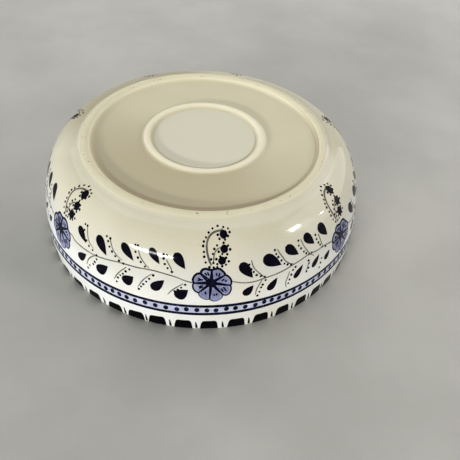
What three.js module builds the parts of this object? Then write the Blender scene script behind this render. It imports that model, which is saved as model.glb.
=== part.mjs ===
// A glazed serving bowl lying upside down: its lip rests on z = 0 and its foot ring is on top.
// Its axis is +Z. Each outline is a list of (radius, height) points that is turned about the axis.
import * as THREE from "three";

// Sizes in millimetres, measured over the glaze where a surface has any.
const HEIGHT = 76.6; // lip to the bare top of the foot ring
const LIP_RADIUS = 124.6; // outside of the wall where the lip starts to round
const BELLY_SWELL = 0.4; // how far the wall bows out beyond the lip
const BELLY_HEIGHT = 14.3; // widest level, where the shoulder starts to turn in
const LIP_BAND = 6; // height of the rounded lip, a piece of its own
const LIP_EDGE = 2.2; // rounding on both sides of the lip
const GLAZE = 0.4; // glass coat, from the clay to the finished surface
const BOND = 0.01; // hair's breadth between clay and coat, so that rounding can't make them overlap
const CLAY_WALL = 5; // clay between the two coats
const SLAB = 6.2; // clay under the recess of the foot
const FOOT_SETBACK = 34.8; // lip radius to the outer edge of the flat on the foot ring
const FOOT_FLAT = 1.2; // width of that flat
const FOOT_RISE = 2; // foot ring above the groove outside it
const FOOT_EDGE = 3.4; // rounding of the ring's two edges
const GROOVE_HOLLOW = 5.7; // hollow between the ring and the shoulder
const RECESS_DEPTH = 3.5; // foot ring above the floor inside it
const RECESS_HOLLOW = 4; // hollow where that floor meets the ring
const BEAD_FLAT = 0.8; // flat on top of the small ring in the recess
const BEAD_RISE = 2.5; // small ring above the recess floor
const BEAD_EDGE = 2.6; // rounding of its edges
const BEAD_HOLLOW = 3; // hollow at its foot, on both sides
const FLOOR_SETBACK = 12; // groove radius to the edge of the flat floor inside the bowl

// Shares and powers.
const BEAD_RADIUS_SHARE = 0.488; // outer edge of the small ring's flat over that of the foot ring's
const BARE_EDGE_SHARE = 0.72; // share of the foot ring's rounding left bare
const SHOULDER_LEVEL_SHARE = 0.48; // where the shoulder starts, from the belly to the floor inside
const LEDGE_LEVEL_SHARE = 0.84; // where the ledge under the foot ring starts, likewise
const SHOULDER_POWER = 2.04; // 2 would be an ellipse, more is squarer
const INSIDE_POWER = 2.6;

// Steps that curves are cut into.
const TURN_STEPS = 48;
const SIDE_STEPS = 2;
const SHOULDER_STEPS = 3;
const OUTSIDE_TOP_STEPS = 4;
const INSIDE_TOP_STEPS = 3;
const ARC_STEPS = 2;
const COATED_EDGE_STEPS = 1;

// Directions of an arc, as angles from the outward radius.
const UP = Math.PI / 2;
const INWARD = Math.PI;
const DOWN = (3 * Math.PI) / 2;
const OUTWARD = 2 * Math.PI;

// Colours and gloss read from the photograph.
const CLAY = { color: 0xd3cbb5, roughness: 0.7 };
const CREAM_GLASS = { color: 0xe4decb, roughness: 0.12 };
const BEIGE_GLASS = { color: 0xd2c8a6, roughness: 0.16 };
const INSIDE_GLASS = { color: 0xe6e1d0, roughness: 0.12 };

// Clay sizes that follow from the finished ones.
const clayLipRadius = LIP_RADIUS - GLAZE;
const clayBellyRadius = clayLipRadius + BELLY_SWELL;
const lipCentreHeight = LIP_EDGE;
const lipClayEdge = LIP_EDGE - GLAZE;
const footFlatRadius = LIP_RADIUS - FOOT_SETBACK;
const grooveHeight = HEIGHT - FOOT_RISE - GLAZE;
const recessHeight = HEIGHT - RECESS_DEPTH - GLAZE;
const insideHeight = recessHeight - SLAB;
const beadFlatRadius = footFlatRadius * BEAD_RADIUS_SHARE;

const point = (radius, height) => new THREE.Vector2(radius, height);
const mix = (from, to, share) => from + (to - from) * share;
const shares = (steps) => Array.from({ length: steps + 1 }, (_, i) => i / steps);

// Curves that each start where the last one ends, as one.
const joined = (...curves) => curves.flatMap((curve, i) => (i ? curve.slice(1) : curve));

// Points of a circular arc between two angles.
function arc(centre, radius, from, to, steps) {
  return shares(steps).map((share) => {
    const angle = mix(from, to, share);
    return point(centre.x + radius * Math.cos(angle), centre.y + radius * Math.sin(angle));
  });
}

// A stretch of a squared ellipse about a centre, between two levels that stop at its top.
function bend({ centre, reach, rise, power }, from, to, steps) {
  const angleAt = (level) => Math.asin(Math.min((level - centre.y) / rise, 1) ** (power / 2));
  return shares(steps).map((share) => {
    const angle = mix(angleAt(from), angleAt(to), share);
    const across = Math.max(Math.cos(angle), 0) ** (2 / power);
    return point(centre.x + reach * across, centre.y + rise * Math.sin(angle) ** (2 / power));
  });
}

// One side of a raised ring: a rounded edge and the hollow at its foot, touching each other.
// side is 1 for the outer side and -1 for the inner one, and all sizes are those of the clay.
// The foot ring's coat starts part of the way down the rounding and leaves the rest bare.
function ringSide({ flatRadius, top, base, edge, hollow, side }) {
  const edgeCentre = point(0, top - edge);
  const hollowCentre = point(0, base + hollow);
  const drop = hollowCentre.y - edgeCentre.y;
  hollowCentre.x = Math.sqrt((edge + hollow) ** 2 - drop ** 2);
  const touch = Math.atan2(drop, hollowCentre.x);
  const split = mix(UP, touch, BARE_EDGE_SHARE);
  const place = (points) => points.map((p) => point(flatRadius + side * p.x, p.y));
  const edgeArc = (coat, from, to, steps) => arc(edgeCentre, edge + coat, from, to, steps);
  const hollowArc = (coat) => arc(hollowCentre, hollow - coat, touch + INWARD, DOWN, ARC_STEPS);
  return {
    reach: flatRadius + side * hollowCentre.x,
    bareEdge: place(edgeArc(0, UP, split, ARC_STEPS)),
    coatedSide: (coat) => place(joined(edgeArc(coat, split, touch, COATED_EDGE_STEPS), hollowArc(coat))),
    wholeSide: (coat) => place(joined(edgeArc(coat, UP, touch, ARC_STEPS), hollowArc(coat))),
  };
}

const footOutside = ringSide({
  flatRadius: footFlatRadius,
  top: HEIGHT,
  base: grooveHeight,
  edge: FOOT_EDGE - GLAZE,
  hollow: GROOVE_HOLLOW + GLAZE,
  side: 1,
});
const footInside = ringSide({
  flatRadius: footFlatRadius - FOOT_FLAT,
  top: HEIGHT,
  base: recessHeight,
  edge: FOOT_EDGE - GLAZE,
  hollow: RECESS_HOLLOW + GLAZE,
  side: -1,
});
const beadSides = [1, -1].map((side) =>
  ringSide({
    flatRadius: side > 0 ? beadFlatRadius : beadFlatRadius - BEAD_FLAT,
    top: recessHeight + BEAD_RISE,
    base: recessHeight,
    edge: BEAD_EDGE - GLAZE,
    hollow: BEAD_HOLLOW + GLAZE,
    side,
  }),
);
const floorRadius = footOutside.reach - FLOOR_SETBACK;

// Levels at which the clay wall is cut into rings, each a piece that keeps clear of the bowl's hollow.
const shoulderLevel = mix(BELLY_HEIGHT, insideHeight, SHOULDER_LEVEL_SHARE);
const ledgeLevel = mix(BELLY_HEIGHT, insideHeight, LEDGE_LEVEL_SHARE);

// Radius of the clay's outside between the lip and the belly, which bows out gently.
function wallRadius(height) {
  const share = (height - lipCentreHeight) / (BELLY_HEIGHT - lipCentreHeight);
  return mix(clayBellyRadius, clayLipRadius, (1 - share) ** 2);
}

// One surface of the wall as three curves that meet at the levels above: side, shoulder and ledge.
function wallSpans(lipPoint, shape, topSteps) {
  const bellyPoint = point(shape.centre.x + shape.reach, BELLY_HEIGHT);
  const side = bend(shape, BELLY_HEIGHT, shoulderLevel, SIDE_STEPS);
  return [
    joined([lipPoint, bellyPoint], side),
    bend(shape, shoulderLevel, ledgeLevel, SHOULDER_STEPS),
    bend(shape, ledgeLevel, Infinity, topSteps),
  ];
}

function outsideSpans(coat) {
  const centre = point(footOutside.reach, BELLY_HEIGHT);
  const reach = clayBellyRadius - centre.x + coat;
  const rise = grooveHeight - centre.y + coat;
  const lipPoint = point(wallRadius(LIP_BAND) + coat, LIP_BAND);
  return wallSpans(lipPoint, { centre, reach, rise, power: SHOULDER_POWER }, OUTSIDE_TOP_STEPS);
}

function insideSpans(coat) {
  const centre = point(floorRadius, BELLY_HEIGHT);
  const reach = clayBellyRadius - CLAY_WALL - centre.x - coat;
  const rise = insideHeight - centre.y - coat;
  const lipPoint = point(wallRadius(LIP_BAND) - CLAY_WALL - coat, LIP_BAND);
  return wallSpans(lipPoint, { centre, reach, rise, power: INSIDE_POWER }, INSIDE_TOP_STEPS);
}

// Round the lip, from the inside of the band down to the resting edge and up the outside.
function lipCurve(coat) {
  const insideCentre = point(clayLipRadius - CLAY_WALL + lipClayEdge, lipCentreHeight);
  const outsideCentre = point(clayLipRadius - lipClayEdge, lipCentreHeight);
  return [
    point(wallRadius(LIP_BAND) - CLAY_WALL - coat, LIP_BAND),
    ...arc(insideCentre, lipClayEdge + coat, INWARD, DOWN, ARC_STEPS),
    ...arc(outsideCentre, lipClayEdge + coat, DOWN, OUTWARD, ARC_STEPS),
    point(wallRadius(LIP_BAND) + coat, LIP_BAND),
  ];
}

// Over the small ring, from its outer hollow to its inner one.
function beadCurve(coat) {
  const [outer, inner] = beadSides.map((side) => side.wholeSide(coat));
  return [...outer.reverse(), ...inner];
}

// The outline of a coat that follows a curve of the clay.
const coat = (curve) => [...curve(BOND), ...curve(GLAZE).reverse()];

// The clay wall's rings between its outside and its inside, the last with a ledge for the foot ring.
function wallRingOutlines() {
  const ledge = [point(footOutside.reach, recessHeight), point(floorRadius, recessHeight)];
  const inside = insideSpans(0).map((span) => span.reverse());
  const [side, shoulder, top] = outsideSpans(0);
  return [
    [...side, ...inside[0]],
    [...shoulder, ...inside[1]],
    [...top, ...ledge, ...inside[2]],
  ];
}

// The foot ring, flat beneath: its outer side, its bare top and its inner side.
function footRingOutline() {
  const outer = joined(footOutside.bareEdge, footOutside.coatedSide(0));
  const inner = joined(footInside.bareEdge, footInside.coatedSide(0));
  return [point(footOutside.reach, recessHeight), ...outer.reverse(), ...inner];
}

const axisPoint = (height) => point(0, height);

// The coat under the bowl: ring side, floor, small ring and middle, down to the axis.
function underCurve(coat) {
  return [...footInside.coatedSide(coat), ...beadCurve(coat), axisPoint(recessHeight + coat)];
}

// The coat in the bowl, from the lip band to the axis.
const bowlCurve = (coat) => [...joined(...insideSpans(coat)), axisPoint(insideHeight - coat)];

// The coat outside the bowl, from the lip band over the groove to the foot ring.
const outerCurve = (coat) => joined(...outsideSpans(coat), footOutside.coatedSide(coat).reverse());

// The disc of clay between the recess and the floor inside the bowl.
function slabOutline() {
  return [
    axisPoint(insideHeight),
    point(floorRadius, insideHeight),
    point(floorRadius, recessHeight),
    axisPoint(recessHeight),
  ];
}

// Twice the area that an outline encloses, positive when it runs anticlockwise.
function turnDirection(outline) {
  return outline.reduce((sum, p, i) => sum + p.cross(outline[(i + 1) % outline.length]), 0);
}

// Turns an outline about the axis into a named mesh that faces outward.
function turned(name, outline, look) {
  const ordered = turnDirection(outline) > 0 ? outline : outline.slice().reverse();
  const start = Math.max(ordered.findIndex((p, i) => !p.x && ordered.at(i - 1).x === 0), 0);
  const open = [...ordered.slice(start), ...ordered.slice(0, start)];
  const profile = open[0].x === 0 ? open : [...open, open[0]];
  const geometry = new THREE.LatheGeometry(profile, TURN_STEPS);
  geometry.rotateX(UP);
  const mesh = new THREE.Mesh(geometry, new THREE.MeshStandardMaterial({ metalness: 0, ...look }));
  mesh.name = name;
  return mesh;
}

const bowl = new THREE.Group();
bowl.name = "serving_bowl";
const [sideWall, shoulder, footLedge] = wallRingOutlines();
bowl.add(
  turned("side_wall", sideWall, CLAY),
  turned("shoulder", shoulder, CLAY),
  turned("foot_ledge", footLedge, CLAY),
  turned("floor_slab", slabOutline(), CLAY),
  turned("foot_ring", footRingOutline(), CLAY),
  turned("centre_ring", beadCurve(0), CLAY),
  turned("rim_lip", lipCurve(0), CLAY),
  turned("outside_glaze", coat(outerCurve), CREAM_GLASS),
  turned("lip_glaze", coat(lipCurve), CREAM_GLASS),
  turned("inside_glaze", coat(bowlCurve), INSIDE_GLASS),
  turned("underside_glaze", coat(underCurve), BEIGE_GLASS),
);

export default bowl;
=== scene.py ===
# %% [markdown]
# # A painted serving bowl, lying upside down
# The bowl is turned from clay, coated with clear cream glass all over except on the top of its foot
# ring, and painted under that glass with a vine, flowers, a dotted band and black blocks along the
# lip. We turn each layer of clay and glass as its own closed piece, in metres, around the packed
# CAD model. Then we draw the painting flat, on a pattern sheet, and wrap it onto the bowl.

# %% The frame
from math import atan2, asin, cos, inf, pi, radians, sin, sqrt

import bmesh
import bpy
import numpy as np
from mathutils import Matrix, Vector


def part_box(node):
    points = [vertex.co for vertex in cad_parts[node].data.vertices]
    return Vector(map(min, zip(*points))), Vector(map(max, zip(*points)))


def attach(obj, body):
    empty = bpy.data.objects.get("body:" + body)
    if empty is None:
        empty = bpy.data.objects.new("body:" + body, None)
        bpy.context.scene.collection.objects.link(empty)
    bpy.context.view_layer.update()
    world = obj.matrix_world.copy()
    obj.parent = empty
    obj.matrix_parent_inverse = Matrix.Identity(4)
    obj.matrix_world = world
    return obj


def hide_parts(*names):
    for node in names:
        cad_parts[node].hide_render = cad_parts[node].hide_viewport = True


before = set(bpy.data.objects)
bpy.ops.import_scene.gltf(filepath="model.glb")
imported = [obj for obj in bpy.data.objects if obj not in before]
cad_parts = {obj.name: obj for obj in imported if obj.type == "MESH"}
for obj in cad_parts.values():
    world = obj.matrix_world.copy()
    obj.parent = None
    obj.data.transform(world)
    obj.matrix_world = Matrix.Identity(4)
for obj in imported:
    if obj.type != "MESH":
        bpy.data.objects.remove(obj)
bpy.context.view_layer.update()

MM = 0.001
scene = bpy.context.scene
print("CAD nodes:", ", ".join(sorted(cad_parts)))

# %% [markdown]
# ## The camera
# The camera stands in front of the bowl, on the -Y side, and looks 44 degrees down. Its three turns
# were worked out from the circles of the foot and the painted lines. A camera looks along its own
# -Z, so its turn is a matrix whose columns are its right, its up and the way back.

# %% The camera
PITCH = radians(44.428)
ROLL = radians(4.486)
YAW = radians(4.166)
FOCAL_PIXELS = 531.92
IMAGE_PIXELS = 460
SENSOR = 36

ahead = Vector((sin(YAW) * cos(PITCH), cos(YAW) * cos(PITCH), -sin(PITCH)))
level = Vector((cos(YAW), -sin(YAW), 0))
above = level.cross(ahead)
camera_right = cos(ROLL) * level + sin(ROLL) * above
camera_up = cos(ROLL) * above - sin(ROLL) * level
camera_turn = Matrix((camera_right, camera_up, -ahead)).transposed()

bpy.ops.object.camera_add(location=(0, -0.33763, 0.30645), rotation=camera_turn.to_euler())
camera = bpy.context.object
camera.name = "front_camera"
camera.data.sensor_width = SENSOR
camera.data.lens = FOCAL_PIXELS / IMAGE_PIXELS * SENSOR
camera.data.clip_start = 0.01
scene.camera = camera
scene.view_settings.view_transform = "Standard"
print("lens:", round(camera.data.lens, 2), "mm")

# %% [markdown]
# ## Sizes
# Millimetres suit a potter better than metres, so outlines are written in them and made smaller
# when they become meshes. The belly bulges a hair less than the CAD solid, which leaves room for the
# paint inside the CAD's box.

# %% Sizes in millimetres
HEIGHT = 76.6
LIP_RADIUS = 124.6
BELLY_SWELL = 0.32
BELLY_HEIGHT = 14.3
LIP_BAND = 6
LIP_EDGE = 2.2
GLAZE = 0.4
BOND = 0.01
CLAY_WALL = 5
SLAB = 6.2
FOOT_FLAT_RADIUS = 89.8
FOOT_FLAT = 1.2
FOOT_EDGE = 3.4
FOOT_RISE = 2
GROOVE_HOLLOW = 5.7
RECESS_DEPTH = 3.5
RECESS_HOLLOW = 4
BEAD_RADIUS = 43.822
BEAD_FLAT = 0.8
BEAD_RISE = 2.5
BEAD_EDGE = 2.6
BEAD_HOLLOW = 3
FLOOR_SETBACK = 12
BARE_SHARE = 0.72
SHOULDER_POWER = 2.04
INSIDE_POWER = 2.6

clay_lip = LIP_RADIUS - GLAZE
clay_belly = clay_lip + BELLY_SWELL
groove_height = HEIGHT - FOOT_RISE - GLAZE
recess_height = HEIGHT - RECESS_DEPTH - GLAZE
inside_height = recess_height - SLAB
shoulder_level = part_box("shoulder")[0].z / MM
ledge_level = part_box("foot_ledge")[0].z / MM
print("the wall is cut at", round(shoulder_level, 2), "and", round(ledge_level, 2), "mm")

# %% [markdown]
# ## Outlines
# A turned pot is one outline swept round an axis. Each surface is a list of (radius, height) points
# made of arcs and squared ellipses, and the same function gives the clay's surface or the glass
# over it, because every curve takes the thickness of the coat. A flat stretch gets a point close to
# each of its ends, which keeps smooth shading from bleeding over it.

# %% Curves for outlines
ARC_STEPS = 10
BEND_STEPS = 56
HOLD = 0.35
FLAT_STEP = 6
THIN_START_SHARE = 0.2


def mix(start, end, share):
    return start + (end - start) * share


def arc(centre, radius, start, end):
    turns = np.linspace(start, end, ARC_STEPS + 1)
    return [(centre[0] + radius * cos(turn), centre[1] + radius * sin(turn)) for turn in turns]


def bend(centre, reach, rise, power, low, high):
    """A stretch of a squared ellipse between two levels."""
    turns = [asin(min(max(level - centre[1], 0) / rise, 1) ** (power / 2)) for level in (low, high)]
    points = []
    for turn in np.linspace(turns[0], turns[1], BEND_STEPS + 1):
        across = max(cos(turn), 0) ** (2 / power)
        points.append((centre[0] + reach * across, centre[1] + rise * sin(turn) ** (2 / power)))
    return points


def flat(start, end, height):
    """A level stretch, without its two end points."""
    toward = 1 if end > start else -1
    first = start + toward * HOLD
    last = end - toward * HOLD
    steps = max(1, round(abs(last - first) / FLAT_STEP))
    return [(radius, height) for radius in np.linspace(first, last, steps + 1)]


def ring_side(flat_radius, top, base, edge, hollow, side, coat, bare=0.0):
    """One side of a raised ring: its rounded edge, then the hollow at its foot.

    bare is the share of the rounding that is left out, from the top down. A coat that starts there
    starts thin.
    """
    drop = (base + hollow) - (top - edge)
    across = sqrt((edge + hollow) ** 2 - drop ** 2)
    touch = atan2(drop, across)
    rounding = arc((0, top - edge), edge + coat, mix(pi / 2, touch, bare), touch)
    if bare and coat > BOND:
        for number, (x, z) in enumerate(rounding):
            thickness = (coat - BOND) * mix(THIN_START_SHARE, 1, number / ARC_STEPS)
            share = (edge + BOND + thickness) / (edge + coat)
            rounding[number] = (x * share, top - edge + (z - top + edge) * share)
    dip = arc((across, base + hollow), hollow - coat, touch + pi, 3 * pi / 2)
    return [(flat_radius + side * x, z) for x, z in rounding + dip[1:]]


def foot_outside(coat, bare=0.0):
    edge = FOOT_EDGE - GLAZE
    return ring_side(FOOT_FLAT_RADIUS, HEIGHT, groove_height, edge, GROOVE_HOLLOW + GLAZE, 1, coat, bare)


def foot_inside(coat, bare=0.0):
    radius = FOOT_FLAT_RADIUS - FOOT_FLAT
    return ring_side(radius, HEIGHT, recess_height, FOOT_EDGE - GLAZE, RECESS_HOLLOW + GLAZE, -1, coat, bare)


def bead(coat):
    """Over the small ring, from its outer hollow to its inner one."""
    top = recess_height + BEAD_RISE
    sizes = (top, recess_height, BEAD_EDGE - GLAZE, BEAD_HOLLOW + GLAZE)
    outer = ring_side(BEAD_RADIUS, *sizes, 1, coat)
    inner = ring_side(BEAD_RADIUS - BEAD_FLAT, *sizes, -1, coat)
    return outer[::-1] + flat(BEAD_RADIUS, BEAD_RADIUS - BEAD_FLAT, top + coat) + inner


foot_reach = foot_outside(0)[-1][0]
floor_radius = foot_reach - FLOOR_SETBACK
print("groove at", round(foot_reach, 2), "mm, flat floor inside to", round(floor_radius, 2), "mm")

# %% [markdown]
# ## The bowl's surfaces
# The bowl has four surfaces: the wall and shoulder outside, the inside, the rounded lip, and the
# underside with its two rings. Each could be drawn as a long list of points. Here each is a short
# function of its coat's thickness, so clay and glass always fit each other.

# %% The bowl's surfaces
LOW_WALL_STEPS = 8


def wall_radius(height):
    """Radius of the clay's outside below the belly."""
    share = (height - LIP_EDGE) / (BELLY_HEIGHT - LIP_EDGE)
    return mix(clay_belly, clay_lip, (1 - share) ** 2)


def low_wall(low, offset):
    heights = np.linspace(low, BELLY_HEIGHT, LOW_WALL_STEPS + 1)[:-1]
    return [(wall_radius(height) + offset, height) for height in heights]


def outside(coat, low, high):
    """The outside between two levels."""
    centre = (foot_reach, BELLY_HEIGHT)
    start = max(low, BELLY_HEIGHT)
    curve = bend(centre, clay_belly - foot_reach + coat, groove_height - BELLY_HEIGHT + coat,
                 SHOULDER_POWER, start, high)
    return curve if low >= BELLY_HEIGHT else low_wall(low, coat) + curve


def inside(coat, low, high):
    """The inside between two levels."""
    centre = (floor_radius, BELLY_HEIGHT)
    start = max(low, BELLY_HEIGHT)
    curve = bend(centre, clay_belly - CLAY_WALL - floor_radius - coat, inside_height - BELLY_HEIGHT - coat,
                 INSIDE_POWER, start, high)
    return curve if low >= BELLY_HEIGHT else low_wall(low, -CLAY_WALL - coat) + curve


def lip_side(coat, side):
    """Half of the lip, from the level of its band down to the middle of its resting edge."""
    edge = LIP_EDGE - GLAZE
    middle = clay_lip - CLAY_WALL / 2
    reach = CLAY_WALL / 2 - edge
    band = wall_radius(LIP_BAND) - middle if side > 0 else middle - wall_radius(LIP_BAND) + CLAY_WALL
    upper = [(band + coat, LIP_BAND), (mix(band, CLAY_WALL / 2, 0.5) + coat, mix(LIP_BAND, LIP_EDGE, 0.5))]
    rounding = arc((reach, LIP_EDGE), edge + coat, 0, -pi / 2)
    return [(middle + side * x, z) for x, z in upper + rounding + [(0, LIP_EDGE - edge - coat)]]


def lip(coat):
    return lip_side(coat, -1) + lip_side(coat, 1)[-2::-1]


def under(coat):
    """Under the bowl, from the foot ring's inner side over the small ring to the axis."""
    ring = foot_inside(coat, BARE_SHARE)
    small_ring = bead(coat)
    floor = recess_height + coat
    middle = flat(small_ring[-1][0], 0, floor)[:-1]
    return ring + flat(ring[-1][0], small_ring[0][0], floor) + small_ring + middle + [(0, floor)]


def bowl_inside(coat):
    floor = inside_height - coat
    return inside(coat, LIP_BAND, inf) + flat(floor_radius, 0, floor)[:-1] + [(0, floor)]


def over_wall(coat):
    """Outside the bowl, from the lip band over the groove and up the foot ring."""
    return outside(coat, LIP_BAND, inf) + foot_outside(coat, BARE_SHARE)[-2::-1]


painted_surface = lip_side(GLAZE, 1)[::-1][:-1] + over_wall(GLAZE)
print("the painted surface has", len(painted_surface), "points from lip to foot ring")

# %% [markdown]
# ## Turning
# A potter's outline becomes a mesh in three moves: one corner is pushed from point to point in edit
# mode, the drawn line goes once round the axis with a Screw modifier, and doubles are merged before
# the normals are made to face out. Spin would do the same, but takes far longer on fine outlines.

# %% Turning an outline
TURNS = 256
MERGE = 1e-6
SMOOTH_BELOW = radians(35)


def start_edit(piece):
    bpy.ops.object.select_all(action="DESELECT")
    piece.select_set(True)
    bpy.context.view_layer.objects.active = piece
    bpy.ops.object.mode_set(mode="EDIT")
    bpy.ops.mesh.select_all(action="SELECT")


def merged(piece, distance):
    start_edit(piece)
    bpy.ops.mesh.remove_doubles(threshold=distance)
    bpy.ops.mesh.delete_loose(use_verts=True, use_edges=True, use_faces=False)
    bpy.ops.object.mode_set(mode="OBJECT")


def faced(piece):
    """Turns every face outwards and shades the soft bends smooth."""
    start_edit(piece)
    bpy.ops.mesh.normals_make_consistent(inside=False)
    bpy.ops.object.mode_set(mode="OBJECT")
    bpy.ops.object.shade_smooth_by_angle(angle=SMOOTH_BELOW)


def drawn(name, points):
    """A line from point to point, each (x, y, z) in metres."""
    bpy.ops.object.select_all(action="DESELECT")
    bpy.ops.mesh.primitive_plane_add(size=MM)
    piece = bpy.context.object
    piece.name = name
    piece.data.name = name
    bpy.ops.object.mode_set(mode="EDIT")
    bpy.ops.mesh.merge(type="CENTER")
    bpy.ops.transform.translate(value=points[0])
    for here, there in zip(points, points[1:]):
        bpy.ops.mesh.extrude_region_move(TRANSFORM_OT_translate={"value": Vector(there) - Vector(here)})
    bpy.ops.object.mode_set(mode="OBJECT")
    return piece


def turned(name, outline, *nodes, slot):
    """Turns a closed outline of (radius, height) points in mm into a piece that stands for CAD nodes."""
    open_ended = outline[0][0] == 0 and outline[-1][0] == 0
    path = outline if open_ended else outline + outline[:1]
    piece = drawn(name, [Vector((radius, 0, height)) * MM for radius, height in path])
    bpy.ops.object.modifier_add(type="SCREW")
    screw = piece.modifiers[-1]
    screw.steps = TURNS
    screw.render_steps = TURNS
    screw.use_merge_vertices = True
    bpy.ops.object.modifier_apply(modifier=screw.name)
    merged(piece, MERGE)
    faced(piece)
    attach(piece, "root")
    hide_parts(*nodes)
    print(name, len(piece.data.polygons), "faces")
    return piece


# %% [markdown]
# ## The clay
# The clay of the real bowl is one fired body. Here it is cut into the same rings as the CAD model:
# lip, side wall, shoulder, ledge, floor, foot ring and small ring. They touch face to face, and only
# the top of the foot ring shows, where the glass was wiped off so that the bowl wouldn't stick to the
# kiln shelf.

# %% Clay rings
ledge = [(foot_reach, recess_height), (floor_radius, recess_height)]
foot_top = flat(FOOT_FLAT_RADIUS, FOOT_FLAT_RADIUS - FOOT_FLAT, HEIGHT)
slab = [(0, inside_height), (floor_radius, inside_height), (floor_radius, recess_height), (0, recess_height)]

clay_pieces = [
    turned("clay_side_wall", outside(0, LIP_BAND, shoulder_level) + inside(0, LIP_BAND, shoulder_level)[::-1],
           "side_wall", slot="clay"),
    turned("clay_shoulder", outside(0, shoulder_level, ledge_level)
           + inside(0, shoulder_level, ledge_level)[::-1], "shoulder", slot="clay"),
    turned("clay_ledge", outside(0, ledge_level, inf) + ledge + inside(0, ledge_level, inf)[::-1],
           "foot_ledge", slot="clay"),
    turned("clay_floor", slab, "floor_slab", slot="clay"),
    turned("clay_foot_ring",
           [(foot_reach, recess_height)] + foot_outside(0)[::-1] + foot_top + foot_inside(0),
           "foot_ring", slot="clay"),
    turned("clay_small_ring", bead(0), "centre_ring", slot="clay"),
    turned("clay_lip", lip(0), "rim_lip", slot="clay"),
]

# %% [markdown]
# ## The glass
# The potter dips the bowl, so the glass is a thin coat of even thickness. A Solidify modifier could
# give it, but would leave its ends square. Here each coat runs along the clay's outline a hair off it,
# and comes back 0.4 mm further out. It gets thin where it was wiped off the foot ring, and the outside
# coat is cut at the lip band as in the CAD model.

# %% Glass coats


def coat_outline(curve):
    return curve(BOND) + curve(GLAZE)[::-1]


outside_glass = turned("glass_outside", coat_outline(over_wall), "outside_glaze", slot="outside_glaze")
lip_glass = turned("glass_lip", coat_outline(lip), "lip_glaze", slot="outside_glaze")
inside_glass = turned("glass_inside", coat_outline(bowl_inside), "inside_glaze", slot="inside_glaze")
under_glass = turned("glass_underside", coat_outline(under), "underside_glaze", slot="underside_glaze")

# %% [markdown]
# ## The pattern sheet
# A decorator paints round the bowl with a brush. We draw on a flat sheet instead: across it runs the
# way round the bowl, with one degree 2.17 mm wide, and up it runs the way over the surface, from the
# lip to the foot. Each painted part is a thin closed layer, which a formula then lays onto the glass,
# a few hundredths of a millimetre proud, so that its edges stay sharp in any light and any view.

# %% Laying a flat shape on the bowl
DEGREE = LIP_RADIUS * pi / 180
LIP_POINTS = 20
SHEET_MERGE = 0.002
SUNK = -0.05
GROUND = 0.02
COLOUR = 0.035
INK = 0.05
OVER_INK = INK + 0.01

surface = np.array(painted_surface)
stretch = np.hypot(*np.diff(surface, axis=0).T)
run = np.concatenate([[0], np.cumsum(stretch)])
run += LIP_EDGE - np.interp(LIP_EDGE, surface[:LIP_POINTS, 1], run[:LIP_POINTS])
slope = np.gradient(surface, run, axis=0)
slope /= np.hypot(*slope.T)[:, None]


def on_bowl(x, y, lift):
    """The place on the bowl, in metres, of points x, y mm on the sheet that stand lift mm proud.

    Nothing goes below the plane that the lip rests on.
    """
    turn = x / DEGREE * pi / 180
    radius = np.interp(y, run, surface[:, 0]) + lift * np.interp(y, run, slope[:, 1])
    height = np.interp(y, run, surface[:, 1]) - lift * np.interp(y, run, slope[:, 0])
    return np.stack([radius * np.sin(turn), -radius * np.cos(turn), np.maximum(height, 0)], -1) * MM


def laid(piece, proud):
    """Wraps a flat closed shape, in mm on the sheet, onto the bowl."""
    merged(piece, SHEET_MERGE)
    places = np.empty(len(piece.data.vertices) * 3)
    piece.data.vertices.foreach_get("co", places)
    x, y, z = places.reshape(-1, 3).T
    piece.data.vertices.foreach_set("co", on_bowl(x, y, np.where(z > 0, proud, SUNK)).ravel())
    piece.data.update()
    faced(piece)
    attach(piece, "root")
    print(piece.name, len(piece.data.polygons), "faces")
    return piece


print("sheet: lip's edge at", round(run[0], 2), "mm, foot ring at", round(run[-1], 2), "mm")

# %% [markdown]
# ## Brush marks
# The decorator makes leaves and blocks with one press of the brush, and dots with its tip. A picture
# could hold them, but its edges would blur close up, so each is a mesh. A leaf or a block is a grid
# squeezed row by row, a dot is a small disc, and a berry is a larger disc with an uneven edge.

# %% Shapes that repeat
THICK = 0.1
SAME_ROW = 0.01


def squeezed(name, rows, columns):
    """A grid one long and one wide, whose rows are scaled to the widths given, from the foot up."""
    bpy.ops.object.select_all(action="DESELECT")
    bpy.ops.mesh.primitive_grid_add(x_subdivisions=columns, y_subdivisions=len(rows) - 1, size=1)
    piece = bpy.context.object
    piece.name = name
    start_edit(piece)
    bpy.ops.transform.translate(value=(0, 0.5, 0))
    grid = bmesh.from_edit_mesh(piece.data)
    for row, width in enumerate(rows):
        level = row / (len(rows) - 1)
        for corner in grid.verts:
            corner.select_set(abs(corner.co.y - level) < SAME_ROW)
        grid.select_flush(True)
        bpy.ops.transform.resize(value=(width, 1, 1), center_override=(0, level, 0))
    return thickened(piece)


def thickened(piece):
    """Gives a flat shape in edit mode its underside and keeps it as a pattern to copy."""
    bpy.ops.mesh.select_all(action="SELECT")
    bpy.ops.mesh.extrude_region_move(TRANSFORM_OT_translate={"value": (0, 0, THICK)})
    bpy.ops.mesh.select_all(action="SELECT")
    bpy.ops.transform.translate(value=(0, 0, -THICK / 2))
    bpy.ops.mesh.remove_doubles(threshold=MERGE)
    bpy.ops.mesh.normals_make_consistent(inside=False)
    bpy.ops.object.mode_set(mode="OBJECT")
    shape = piece.data
    bpy.data.objects.remove(piece)
    return shape


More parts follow.
